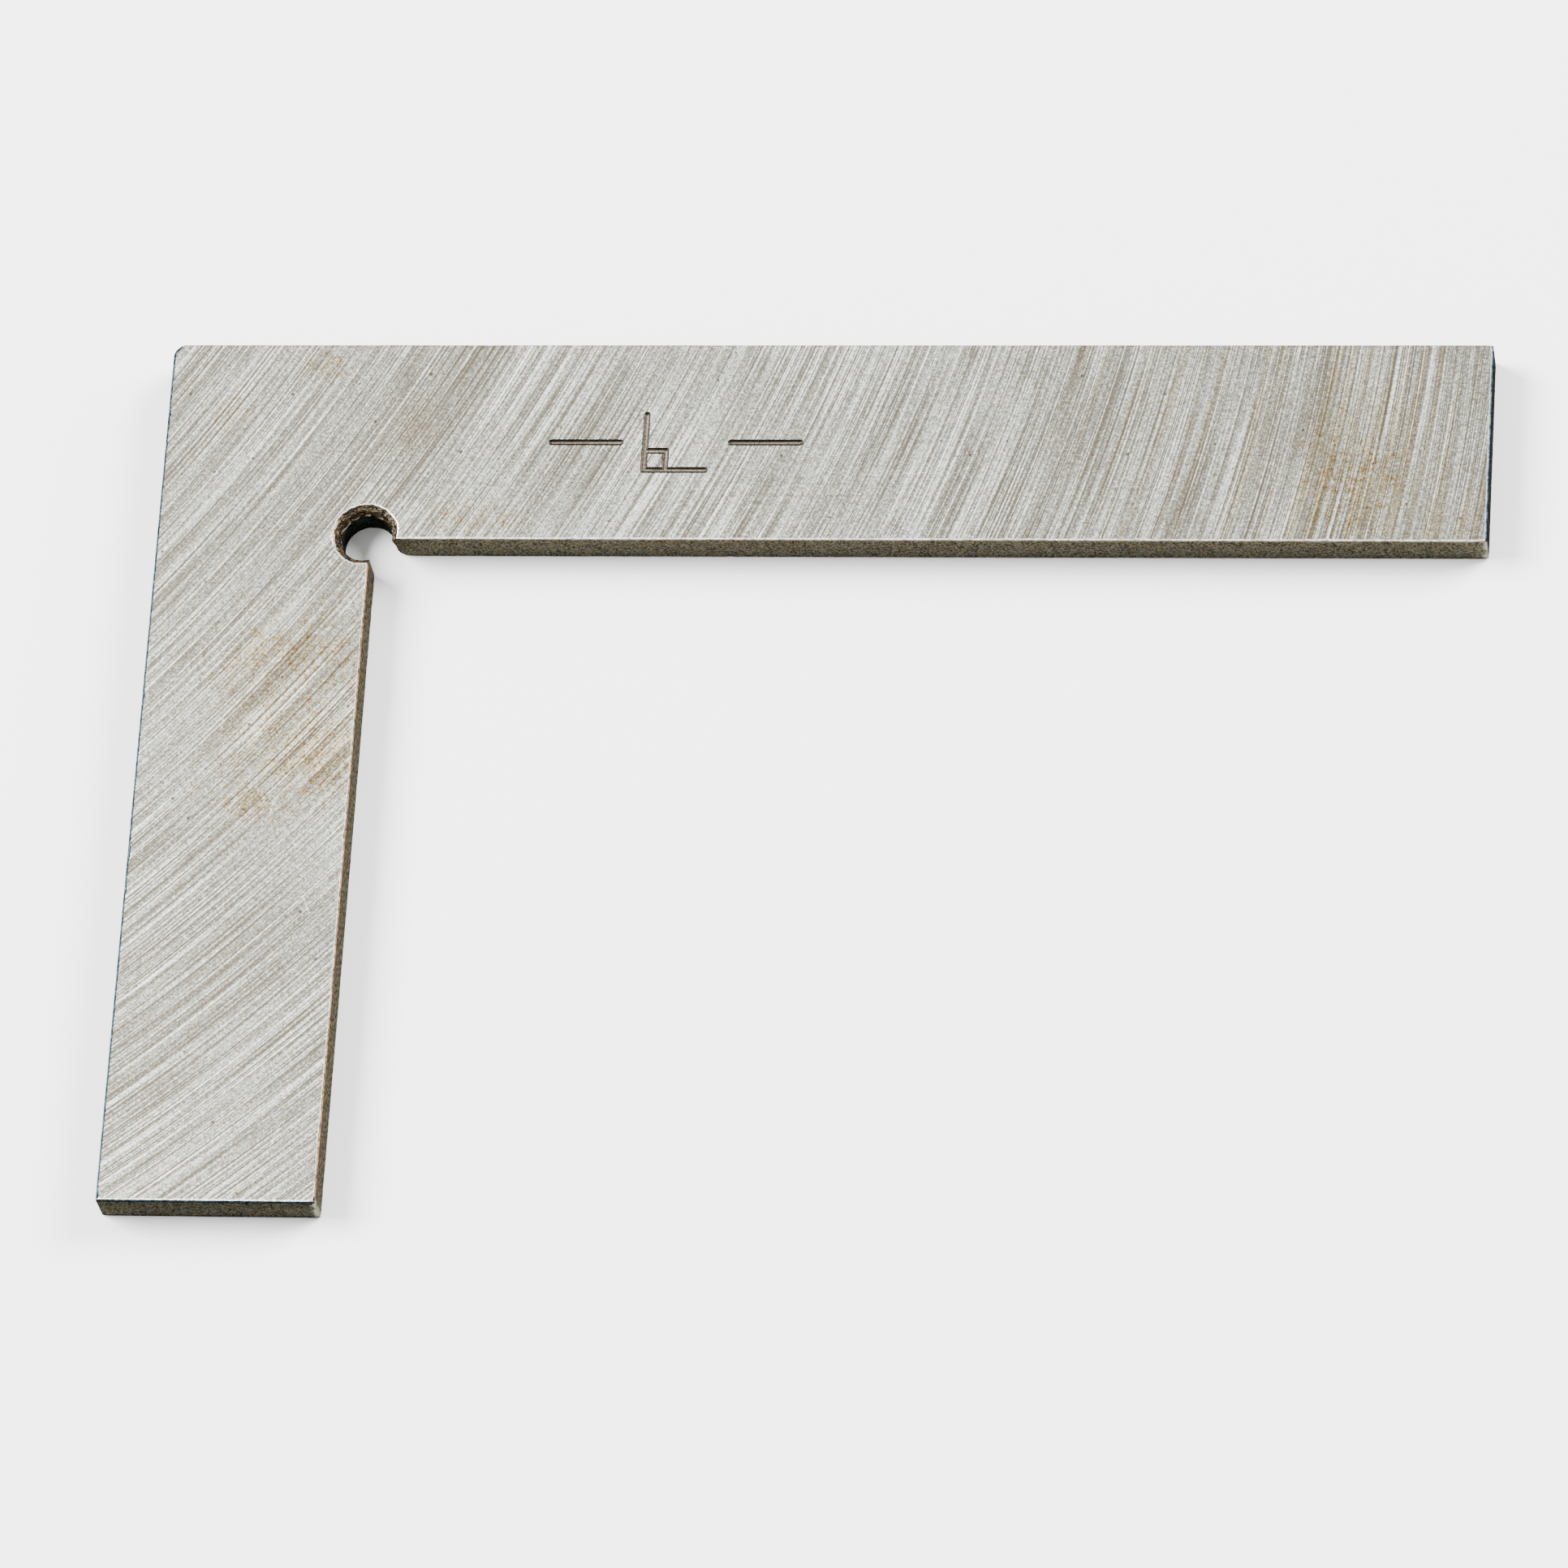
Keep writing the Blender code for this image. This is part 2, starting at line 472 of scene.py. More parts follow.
def square_corners(points):
    """The outline with each chamfered upright corner made one sharp point, and those points."""
    count = len(points)
    nexts = points[1:] + points[:1]
    turns = [turn_at(points[i - 1], points[i], nexts[i]) for i in range(count)]
    short = [(nexts[i] - points[i]).length < CORNER_CLEAR for i in range(count)]
    sharp = [turn > CORNER_TURN for turn in turns]
    starts = [i for i in range(count) if short[i] and sharp[i] and sharp[(i + 1) % count]]
    kept = []
    corners = []
    for i, point in enumerate(points):
        if i in starts:
            after = points[(i + 1) % count]
            corner = meeting_point(points[i - 1], point, after, points[(i + 2) % count])
            corners.append(corner)
            kept.append(corner)
        elif (i - 1) % count not in starts:
            kept.append(point)
    return kept, corners


def divided(points, corners):
    """The same closed outline in short steps, left clear close to its corners.

    A corner's inset edge is shorter than its outline, so points closer to it would cross over.
    """
    fine = []
    for a, b in zip(points, points[1:] + points[:1], strict=True):
        parts = max(1, math.ceil((b - a).length / OUTLINE_STEP))
        fine += [a.lerp(b, i / parts) for i in range(parts)]
    return [p for p in fine if p in corners or nearest(p, corners) > CORNER_CLEAR]


def nearest(point, others):
    return min((point - other).length for other in others)


def inward_normals(points):
    """For each point, the way into the steel, as long as a mitred corner needs."""
    normals = []
    for before, here, after in neighbours(points):
        come = (here - before).normalized()
        go = (after - here).normalized()
        come_in = Vector((-come.y, come.x))
        go_in = Vector((-go.y, go.x))
        normals.append((come_in + go_in) / (1 + come_in.dot(go_in)))
    return normals


def relief_hole(points):
    """Centre and radius of the relief hole, from the outline's points past the inner edges."""
    rim = [
        p for p in points
        if max(abs(p.x - INNER_X), abs(p.y - INNER_Y)) < HOLE_REACH
        and (p.x < INNER_X - HOLE_CLEAR or p.y > INNER_Y + HOLE_CLEAR)
    ]
    rows = np.array([[2 * p.x, 2 * p.y, 1.0] for p in rim])
    squares = np.array([p.length_squared for p in rim])
    x, y, rest = np.linalg.lstsq(rows, squares, rcond=None)[0]
    return Vector((x, y)), math.sqrt(rest + x * x + y * y)


def on_hole(point, hole):
    """Whether an outline point is on the relief hole's circle."""
    centre, radius = hole
    return abs((point - centre).length - radius) < HOLE_MATCH


def throat_outline(outline, hole):
    """The outline below the relief hole's mouth, where the hole is narrower."""
    centre, radius = hole
    throat = radius - MOUTH_INSET
    narrowed = []
    for before, point, after in neighbours(outline):
        moved = point
        if on_hole(point, hole):
            moved = centre + (point - centre).normalized() * throat
            for other in (before, after):
                if not on_hole(other, hole):
                    along = (other - point).normalized()
                    foot = point + along * along.dot(centre - point)
                    moved = foot + along * math.sqrt(throat**2 - (centre - foot).length_squared)
        narrowed.append(moved)
    return narrowed


def worn_outline(outline, narrowed, hole):
    """The outline at the back, where the corner of the hole and the long inner edge is worn round."""
    ends = [
        i for i, (before, point, after) in enumerate(neighbours(outline))
        if on_hole(point, hole) and not (on_hole(before, hole) and on_hole(after, hole))
    ]
    middle = max(ends, key=lambda i: outline[i].x)
    away = [(point - outline[middle]).length / WORN_CORNER for point in outline]
    sides = [-1 if on_hole(point, hole) else 1 for point in outline]
    bends = []
    for side in (-1, 1):
        on_side = [i for i in range(len(outline)) if sides[i] == side]
        bends.append(narrowed[min(on_side, key=lambda i: abs(away[i] - 1.0))])
    come, go = bends
    corner = narrowed[middle]
    worn = []
    for throat, reach, side in zip(narrowed, away, sides, strict=True):
        if reach < 1.0:
            share = (1.0 + side * reach) / 2
            throat = come.lerp(corner, share).lerp(corner.lerp(go, share), share)
        worn.append(throat)
    return worn


def neighbours(points):
    """Each point of a closed outline with the ones before and after it."""
    return zip(points[-1:] + points[:-1], points, points[1:] + points[:1], strict=True)


def eased(share):
    """A smooth step from 0 to 1."""
    share = min(1.0, max(0.0, share))
    return share * share * (3.0 - 2.0 * share)


def region_of(start, end, hole):
    """Which wall of the plate stands on this stretch of its outline."""
    if on_hole(start, hole) and on_hole(end, hole):
        return "hole"
    way = (end - start).normalized()
    if way.x > RUNS_ALONG:
        return "short_end" if start.y < INNER_Y - MM else "inner_long"
    if way.y > RUNS_ALONG:
        return "long_end" if start.x > INNER_X + MM else "inner_short"
    return "outer_long" if way.x < -RUNS_ALONG else "outer_short"


def wavy(grain, point, height=0.0, seed=0.0):
    """The grain's noise at a place, from about -1 to 1, without its strength."""
    size = grain.size
    x = point.x / size + (grain.seed + seed)
    return noise.noise(Vector((x, point.y / size, height / size)))


def edge_break(point, roughness, chamfer, seed):
    """How far the edge is broken at an outline point: worn, and nicked here and there."""
    at_end = max(point.x - PLATE_HIGH.x, PLATE_LOW.y - point.y) > -END_REACH
    slow = wavy(BREAK_SLOW, point, seed=seed)
    fast = wavy(BREAK_FAST, point, seed=seed)
    width = chamfer * (BREAK_SHARE + BREAK_SLOW.strength * slow + BREAK_FAST.strength * fast)
    width += NICKS.strength * max(0.0, wavy(NICKS, point, seed=seed) - NICK_RARITY)
    width += roughness * RIM_WEAR.strength * wavy(RIM_WEAR, point, seed=seed)
    if at_end and seed == FRONT_SEED:
        return max(width, END_BREAK * (1 - END_BREAK_VARIES + END_BREAK_VARIES * fast))
    return min(max(width, BREAK_LEAST * chamfer), chamfer)


def wall_offset(point, height, roughness):
    """How far the wall's grain reaches into the steel at a height."""
    fine = WALL_FINE.strength * wavy(WALL_FINE, point, height)
    broad = WALL_BROAD.strength * wavy(WALL_BROAD, point, height)
    offset = WALL_GRAIN * (WALL_GRAIN_MIDDLE + fine + broad)
    if roughness > 0.0:
        coarse = HOLE_COARSE.strength * wavy(HOLE_COARSE, point, height)
        grit = HOLE_GRIT.strength * wavy(HOLE_GRIT, point, height)
        step_height = PLATE_HIGH.z - PLATE_LOW.z - HOLE_STEP_DEPTH
        torn_from = step_height + TORN_EDGE.strength * wavy(TORN_EDGE, point)
        torn = min(1.0, max(0.0, (height - torn_from) / TORN_FADE))
        offset += roughness * torn * (HOLE_TEAR + HOLE_GRAIN * (coarse + grit))
    return offset


def edge_section(point, roughness, chamfer, blunt):
    """The edge's section at an outline point, front to back: (inset, height) pairs."""
    thickness = PLATE_HIGH.z - PLATE_LOW.z
    front = edge_break(point, roughness, chamfer, FRONT_SEED)
    back = edge_break(point, roughness, chamfer, BACK_SEED)
    quarter = [math.pi / 2 * k / EDGE_ROUND_STEPS for k in range(EDGE_ROUND_STEPS + 1)]
    bends = [(1 - math.sin(a), 1 - math.cos(a)) for a in quarter]
    base = blunt + wall_offset(point, thickness - front, roughness)
    section = [(base + front + FACE_SUPPORT, thickness)]
    section += [(base + front * inset, thickness - front * drop) for inset, drop in bends]
    wall_top = thickness - front
    for k in range(1, WALL_ROWS):
        height = wall_top + (back - wall_top) * k / WALL_ROWS
        section.append((blunt + wall_offset(point, height, roughness), height))
    base = blunt + wall_offset(point, back, roughness)
    section += [(base + back * inset, back * rise) for inset, rise in reversed(bends)]
    section.append((base + back + FACE_SUPPORT, 0.0))
    return section


def kind_of(finish, from_face):
    """The slot of a row of the edge, counted from the nearer face."""
    if from_face < finish.lip_rows:
        return finish.lip
    return finish.broken_edge if from_face < finish.edge_rows else finish.wall


def plate_mesh(outline, corners, chamfer, hole):
    """The plate as one closed mesh, with a material slot for each kind of surface."""
    inward = inward_normals(outline)
    outline_ends = outline[1:] + outline[:1]
    narrowed = throat_outline(outline, hole)
    worn = worn_outline(outline, narrowed, hole)
    thickness = PLATE_HIGH.z - PLATE_LOW.z
    shape = bmesh.new()
    rings = []
    for point, throat, back, normal in zip(outline, narrowed, worn, inward, strict=True):
        away = nearest(point, corners)
        roughness = min(1.0, away / HOLE_CALM) if on_hole(point, hole) else 0.0
        blunt = CORNER_BLUNT if away < WELD else 0.0
        ring = []
        for inset, height in edge_section(point, roughness, chamfer, blunt):
            depth = thickness - height
            at = point.lerp(throat.lerp(back, eased(depth / thickness)), eased(depth / MOUTH_DEPTH))
            at = at + normal * inset
            ring.append(shape.verts.new((at.x, at.y, PLATE_LOW.z + height)))
        rings.append(ring)
    rows = len(rings[0])
    for i, (here, after) in enumerate(zip(rings, rings[1:] + rings[:1], strict=True)):
        finish = FINISH_OF[region_of(outline[i], outline_ends[i], hole)]
        for k in range(rows - 1):
            quad = shape.faces.new((here[k], here[k + 1], after[k + 1], after[k]))
            quad.material_index = SLOTS.index(kind_of(finish, min(k, rows - 2 - k)))
            quad.smooth = True
    front = shape.faces.new([ring[0] for ring in rings])
    back = shape.faces.new([ring[-1] for ring in reversed(rings)])
    for face in (front, back):
        face.material_index = SLOTS.index("face")
        face.smooth = True
    bmesh.ops.recalc_face_normals(shape, faces=shape.faces)
    mesh = bpy.data.meshes.new("steel_square")
    shape.to_mesh(mesh)
    shape.free()
    return mesh


# ---------------------------------------------------------------- the engraved sign


def stroke_cutter(points, finishes):
    """A rod with round ends along a straight stroke, sunk so far that it cuts the engraved groove."""
    curve = bpy.data.curves.new("stroke", "CURVE")
    curve.dimensions = "3D"
    curve.bevel_depth = GROOVE_TOOL_RADIUS
    curve.bevel_resolution = 5
    curve.use_fill_caps = True
    start, end = points
    reach = (end - start).normalized() * GROOVE_TOOL_RADIUS
    caps = [math.pi / 2 * k / STROKE_CAP_STEPS for k in range(1, STROKE_CAP_STEPS + 1)]
    path = [(start - reach * math.cos(a), math.sin(a)) for a in caps]
    path += [(end + reach * math.cos(a), math.sin(a)) for a in reversed(caps)]
    spline = curve.splines.new("POLY")
    spline.points.add(len(path) - 1)
    height = PLATE_HIGH.z + GROOVE_TOOL_RADIUS - GROOVE_DEPTH
    for knot, (at, radius) in zip(spline.points, path, strict=True):
        knot.co = (at.x, at.y, height, 1.0)
        knot.radius = radius
    rod = bpy.data.objects.new("stroke", curve)
    bpy.context.scene.collection.objects.link(rod)
    bpy.context.view_layer.update()
    depsgraph = bpy.context.evaluated_depsgraph_get()
    mesh = bpy.data.meshes.new_from_object(rod.evaluated_get(depsgraph))
    bpy.data.objects.remove(rod, do_unlink=True)
    shape = bmesh.new()
    shape.from_mesh(mesh)
    bmesh.ops.remove_doubles(shape, verts=shape.verts, dist=WELD)
    bmesh.ops.recalc_face_normals(shape, faces=shape.faces)
    shape.to_mesh(mesh)
    shape.free()
    mesh.materials.clear()
    for finish in finishes:
        mesh.materials.append(finish)
    for face in mesh.polygons:
        face.material_index = SLOTS.index("groove")
        face.use_smooth = True
    cutter = bpy.data.objects.new("stroke_cutter", mesh)
    bpy.context.scene.collection.objects.link(cutter)
    return cutter


def sign_strokes():
    """A right-angle sign between two plain dashes, as straight strokes from point to point."""
    left, low = SIGN_CORNER
    corner = Vector((left, low))
    across = Vector((SIGN_SIZE, 0.0))
    up = Vector((0.0, SIGN_SIZE))
    small = SIGN_SQUARE / SIGN_SIZE
    inside = corner + (up + across) * small
    middle = corner + up / 2
    gap = Vector((SIGN_GAP, 0))
    gap_and_dash = Vector((SIGN_GAP + DASH_LENGTH, 0))
    left_dash = [middle - gap_and_dash, middle - gap]
    right_dash = [middle + across + gap, middle + across + gap_and_dash]
    upright = [corner + up, corner]
    foot = [corner, corner + across]
    square_top = [corner + up * small, inside]
    square_side = [inside, corner + across * small]
    return [upright, foot, square_top, square_side, left_dash, right_dash]


def engrave(plate):
    """Cuts the sign in the front face in one go, and gives the cut its own material slot."""
    cutters = bpy.data.collections.new("sign_cutters")
    for stroke in sign_strokes():
        cutters.objects.link(stroke_cutter(stroke, plate.data.materials))
    cut = plate.modifiers.new("engraved", "BOOLEAN")
    cut.operation = "DIFFERENCE"
    cut.solver = "EXACT"
    cut.operand_type = "COLLECTION"
    cut.collection = cutters
    bpy.context.view_layer.update()
    depsgraph = bpy.context.evaluated_depsgraph_get()
    mesh = bpy.data.meshes.new_from_object(plate.evaluated_get(depsgraph))
    plate.modifiers.clear()
    plate.data = mesh
    for cutter in list(cutters.objects):
        bpy.data.objects.remove(cutter, do_unlink=True)
    bpy.data.collections.remove(cutters)


# ---------------------------------------------------------------- materials


class Graph:
    """One material's node tree, with a short call for each kind of node that it uses."""

    def __init__(self, name):
        self.material = bpy.data.materials.new(name)
        self.material.use_nodes = True
        self.tree = self.material.node_tree
        self.shader = self.tree.nodes["Principled BSDF"]
        place = self.tree.nodes.new("ShaderNodeTexCoord").outputs["Object"]
        scale = self.tree.nodes.new("ShaderNodeVectorMath")
        scale.operation = "SCALE"
        scale.inputs["Scale"].default_value = 1 / MM
        self.tree.links.new(place, scale.inputs[0])
        self.place = scale.outputs[0]
        split = self.tree.nodes.new("ShaderNodeSeparateXYZ")
        self.tree.links.new(self.place, split.inputs[0])
        self.x, self.y, self.z = split.outputs

    def feed(self, socket, value):
        if isinstance(value, bpy.types.NodeSocket):
            self.tree.links.new(value, socket)
        else:
            socket.default_value = value

    def math(self, operation, *values):
        node = self.tree.nodes.new("ShaderNodeMath")
        node.operation = operation
        for socket, value in zip(node.inputs, values, strict=False):
            self.feed(socket, value)
        return node.outputs[0]

    def times(self, a, b):
        return self.math("MULTIPLY", a, b)

    def minus(self, a, b):
        return self.math("SUBTRACT", a, b)

    def add(self, *values):
        total = values[0]
        for value in values[1:]:
            total = self.math("ADD", total, value)
        return total

    def span(self, x, y):
        """The length of the vector x, y."""
        return self.math("SQRT", self.add(self.times(x, x), self.times(y, y)))

    def vector(self, x, y, z):
        node = self.tree.nodes.new("ShaderNodeCombineXYZ")
        for socket, value in zip(node.inputs, (x, y, z), strict=True):
            self.feed(socket, value)
        return node.outputs[0]

    def noise(self, at, detail=0.0, roughness=0.5):
        """Smooth noise about 0, with a spread of about 1."""
        node = self.tree.nodes.new("ShaderNodeTexNoise")
        node.inputs["Scale"].default_value = 1.0
        node.inputs["Detail"].default_value = detail
        node.inputs["Roughness"].default_value = roughness
        self.tree.links.new(at, node.inputs["Vector"])
        return self.times(self.minus(node.outputs[0], 0.5), NOISE_GAIN)

    def lumps(self, size, seed, detail=0.0, roughness=0.5):
        """Noise with the same grain every way, with lumps of that many millimetres."""
        at = self.vector(
            self.math("MULTIPLY_ADD", self.x, 1 / size, seed),
            self.times(self.y, 1 / size),
            self.times(self.z, 1 / size),
        )
        return self.noise(at, detail, roughness)

    def step(self, value, low, high, to_low=0.0, to_high=1.0):
        """A soft step from to_low, at low, to to_high, at high."""
        node = self.tree.nodes.new("ShaderNodeMapRange")
        node.interpolation_type = "SMOOTHSTEP"
        names = ("Value", "From Min", "From Max", "To Min", "To Max")
        for name, number in zip(names, (value, low, high, to_low, to_high), strict=True):
            self.feed(node.inputs[name], number)
        return node.outputs[0]

    def fade(self, value, low, high):
        """A soft step down, from 1 at low to 0 at high."""
        return self.step(value, low, high, 1.0, 0.0)

    def ramp(self, value, stops):
        """A colour from stops of (place, colour), with places from 0 to 1."""
        node = self.tree.nodes.new("ShaderNodeValToRGB")
        band = node.color_ramp
        while len(band.elements) < len(stops):
            band.elements.new(0.5)
        for element, (place, colour) in zip(band.elements, stops, strict=True):
            element.position = place
            element.color = (*colour, 1.0)
        self.feed(node.inputs[0], value)
        return node.outputs[0]

    def mix(self, factor, a, b, blend="MIX"):
        node = self.tree.nodes.new("ShaderNodeMix")
        node.data_type = "RGBA"
        node.blend_type = blend
        sockets = (node.inputs["Factor"], node.inputs[6], node.inputs[7])
        for socket, value in zip(sockets, (factor, a, b), strict=True):
            self.feed(socket, (*value, 1.0) if isinstance(value, tuple) else value)
        return node.outputs[2]

    def tint(self, factor, colour, by):
        """The colour, multiplied by another one where the factor is 1."""
        return self.mix(factor, colour, self.mix(1.0, colour, by, "MULTIPLY"))

    def shade(self, colour, grey):
        """The colour, multiplied all over by a grey."""
        return self.mix(1.0, colour, self.vector(grey, grey, grey), "MULTIPLY")

    def steel(self, colour, roughness, glance=FULL_GLANCE):
        """Bare metal of that colour, and the tint of what it mirrors at a glancing angle."""
        self.feed(self.shader.inputs["Base Color"], colour)
        self.feed(self.shader.inputs["Roughness"], roughness)
        self.shader.inputs["Metallic"].default_value = 1.0
        self.shader.inputs["Specular Tint"].default_value = glance
        return self.material

    def bump(self, height, distance):
        """Relief from a height of about -1 to 1, which stands for distance in metres."""
        node = self.tree.nodes.new("ShaderNodeBump")
        node.inputs["Distance"].default_value = distance
        node.inputs["Strength"].default_value = 1.0
        self.feed(node.inputs["Height"], height)
        self.tree.links.new(node.outputs[0], self.shader.inputs["Normal"])


def arc_coordinates(graph):
    """Millimetres across and along the grinding arcs."""
    cos = math.cos(FEED_ANGLE)
    sin = math.sin(FEED_ANGLE)
    feed = graph.add(graph.times(graph.x, cos), graph.times(graph.y, sin))
    side = graph.add(graph.times(graph.x, -sin), graph.times(graph.y, cos))
    side = graph.math("ADD", side, WHEEL_OFFSET)
    depth = graph.math("SQRT", graph.minus(WHEEL_RADIUS**2, graph.times(side, side)))
    across = graph.add(feed, graph.minus(WHEEL_RADIUS, depth))
    angle = graph.math("ARCSINE", graph.math("DIVIDE", side, WHEEL_RADIUS))
    return across, graph.times(angle, WHEEL_RADIUS)


def arc_place(graph, across, along, width, length, drift, seed):
    """A place on the arcs, squeezed so that noise there makes lines of that width and length."""
    across = graph.math("MULTIPLY_ADD", along, drift, across)
    return graph.vector(
        graph.math("MULTIPLY_ADD", across, 1 / width, seed),
        graph.times(along, 1 / length),
        graph.times(graph.z, FACE_SHUFFLE),
    )


def nth_seed(seeds, k):
    """The seed of the k-th of a row of patterns, which are spaced evenly from the first."""
    first, step = seeds
    return first + step * k


def tone_change(graph, place, start, end, change):
    """A change of tone: none at the start, all of it from the end on."""
    return graph.step(place, start, end, 0.0, change)


def ground_tone(graph, across, along):
    """How light the ground face is, in grey levels about its middle tone: broad painted shade, and
    the grinding arcs, partly painted reflection.
    """
    # Painted shade: the face darkens towards its right end, its left edge, its foot and its outer
    # corner, where the light falls off
    right = tone_change(graph, graph.x, *RIGHT_PAINTED_SHADE)
    left = tone_change(graph, graph.x, *LEFT_PAINTED_SHADE)
    foot = tone_change(graph, graph.y, *FOOT_PAINTED_SHADE)
    corner = tone_change(graph, graph.y, *CORNER_PAINTED_SHADE)
    corner = graph.times(corner, graph.fade(graph.x, *CORNER_PAINTED_SHADE_SPAN))
    tone = graph.add(right, left, foot, corner)
    for k, (width, length, drift, strength) in enumerate(GRINDING_LINES):
        at = arc_place(graph, across, along, width, length, drift, nth_seed(LINE_SEEDS, k))
        tone = graph.math("MULTIPLY_ADD", graph.noise(at), strength, tone)
    for k, (width, length, drift, sharpness, strength) in enumerate(CUT_LINES):
        at = arc_place(graph, across, along, width, length, drift, nth_seed(CUT_SEEDS, k))
        crest = graph.math("ABSOLUTE", graph.noise(at))
        cut = graph.fade(crest, 0.0, sharpness)
        band = (width * CUT_BAND_SIZE[0], length * CUT_BAND_SIZE[1], drift)
        at = arc_place(graph, across, along, *band, nth_seed(CUT_BAND_SEEDS, k))
        cut = graph.times(cut, graph.step(graph.noise(at), *CUT_BAND_STEP))
        tone = graph.math("MULTIPLY_ADD", cut, strength, tone)
    tone = graph.math("MULTIPLY_ADD", graph.lumps(*FACE_GRAIN_LUMPS), FACE_GRAIN, tone)
    return graph.math("MULTIPLY_ADD", graph.lumps(*FACE_PATCH_LUMPS), FACE_PATCHES, tone)


def scratch_marks(graph):
    """Thin stray scratches: each is light along a short straight line."""
    total = 0.0
    taper_from, taper_to = SCRATCH_TAPER
    for x, y, length, angle, strength in SCRATCHES:
        cos = math.cos(math.radians(angle))
        sin = math.sin(math.radians(angle))
        dx = graph.minus(graph.x, x)
        dy = graph.minus(graph.y, y)
        along = graph.math("ABSOLUTE", graph.add(graph.times(dx, cos), graph.times(dy, sin)))
        off = graph.math("ABSOLUTE", graph.add(graph.times(dx, -sin), graph.times(dy, cos)))
        thin = graph.fade(off, 0.0, SCRATCH_WIDTH)
        within = graph.fade(along, taper_from * length, taper_to * length)
        total = graph.math("MULTIPLY_ADD", graph.times(thin, within), strength, total)
    return total


def hairlines(graph):
    """Faint lines along the long leg, where stock was slid along the face."""
    wander = graph.math("MULTIPLY_ADD", graph.x, HAIRLINE_TILT, graph.y)
    place = (graph.times(graph.x, 1 / HAIRLINE_LENGTH), graph.times(wander, 1 / HAIRLINE_SPACING))
    crest = graph.math("ABSOLUTE", graph.noise(graph.vector(*place, HAIRLINE_SEED)))
    line = graph.fade(crest, 0.0, HAIRLINE_SHARPNESS)
    low, high = HAIRLINE_BAND
    above = graph.step(graph.y, low - 1, low)
    below = graph.fade(graph.y, high, high + 1)
    return graph.times(line, graph.times(above, below))


def pits(graph):
    """Small dark pits, one in some of the cells of a loose grid."""
    node = graph.tree.nodes.new("ShaderNodeTexVoronoi")
    node.inputs["Scale"].default_value = 1.0
    cell = [graph.times(axis, 1 / PIT_SPACING) for axis in (graph.x, graph.y, graph.z)]
    graph.tree.links.new(graph.vector(*cell), node.inputs["Vector"])
    split = graph.tree.nodes.new("ShaderNodeSeparateColor")
    graph.tree.links.new(node.outputs["Color"], split.inputs[0])
    chosen = graph.step(split.outputs[0], *PIT_SHARE)
    reach = graph.math("MULTIPLY_ADD", split.outputs[1], *PIT_REACH)
    dot = graph.fade(node.outputs["Distance"], reach, graph.math("ADD", reach, PIT_EDGE))
    return graph.times(dot, chosen)


def rust_film(graph):
    """How brown the face is at a place: broad thin stains with ragged edges."""
    ragged = graph.lumps(*STAIN_LUMPS)
    total = 0.0
    for x, y, reach_x, reach_y, strength in STAINS:
        dx = graph.times(graph.minus(graph.x, x), 1 / reach_x)
        dy = graph.times(graph.minus(graph.y, y), 1 / reach_y)
        away = graph.math("MULTIPLY_ADD", ragged, STAIN_RAGGED, graph.span(dx, dy))
        inside = graph.fade(away, *STAIN_FADE)
        total = graph.math("MULTIPLY_ADD", inside, strength, total)
    return graph.math("MINIMUM", total, 1.0)


def ground_face():
    """The two ground faces: long grinding arcs, light and dark partly as painted reflection, under
    broad painted shade, with stains, specks and pits.
    """
    graph = Graph("ground_face")
    across, along = arc_coordinates(graph)
    tone = ground_tone(graph, across, along)
    tone = graph.add(tone, scratch_marks(graph))
    tone = graph.math("MULTIPLY_ADD", hairlines(graph), HAIRLINE_TONE, tone)
    colour = graph.ramp(graph.math("MULTIPLY_ADD", tone, 1 / TONE_SPAN, 0.5), FACE_RAMP)

    film = rust_film(graph)
    brushed = graph.noise(arc_place(graph, across, along, *FILM_LINES))
    colour = graph.tint(graph.times(film, graph.step(brushed, *FILM_STEP)), colour, RUST_FILM)

    bands = graph.noise(arc_place(graph, across, along, *WASH_BANDS))
    lines = graph.noise(arc_place(graph, across, along, *WASH_LINES))
    wash = graph.step(graph.add(bands, graph.times(lines, WASH_LINES_SHARE)), *WASH_STEP)
    wash = graph.times(wash, graph.step(graph.x, *TAN_WASH_SPAN, *TAN_WASH_SHARE))
    colour = graph.tint(wash, colour, TAN_WASH)

    crumbs = graph.math("MULTIPLY_ADD", film, FLECK_IN_FILM, graph.lumps(*FLECK_LUMPS))
    flecks = graph.step(crumbs, *FLECK_STEP)
    colour = graph.tint(graph.times(flecks, FLECK_COVER), colour, RUST_FLECK)
    colour = graph.mix(graph.times(pits(graph), PIT_COVER), colour, PIT_COLOUR)

    graph.bump(graph.times(tone, 2 / TONE_SPAN), FACE_RELIEF)
    return graph.steel(colour, graph.step(tone, -TONE_SPAN / 2, TONE_SPAN / 2, *FACE_ROUGHNESS))


def corner_pale_patches(graph):
    """Where the walls are paler: in patches beside the inner corners of the leg ends."""
    ragged = graph.lumps(*CORNER_PALE_LUMPS)
    total = 0.0
    for x, y in ((INNER_X, PLATE_LOW.y), (PLATE_HIGH.x, INNER_Y)):
        away = graph.span(graph.minus(graph.x, x / MM), graph.minus(graph.y, y / MM))
        away = graph.math("MULTIPLY_ADD", ragged, CORNER_PALE_RAGGED, away)
        paler = graph.step(away, *CORNER_PALE_FADE, CORNER_PALE_COVER, 0.0)
        total = graph.add(total, paler)
    return total


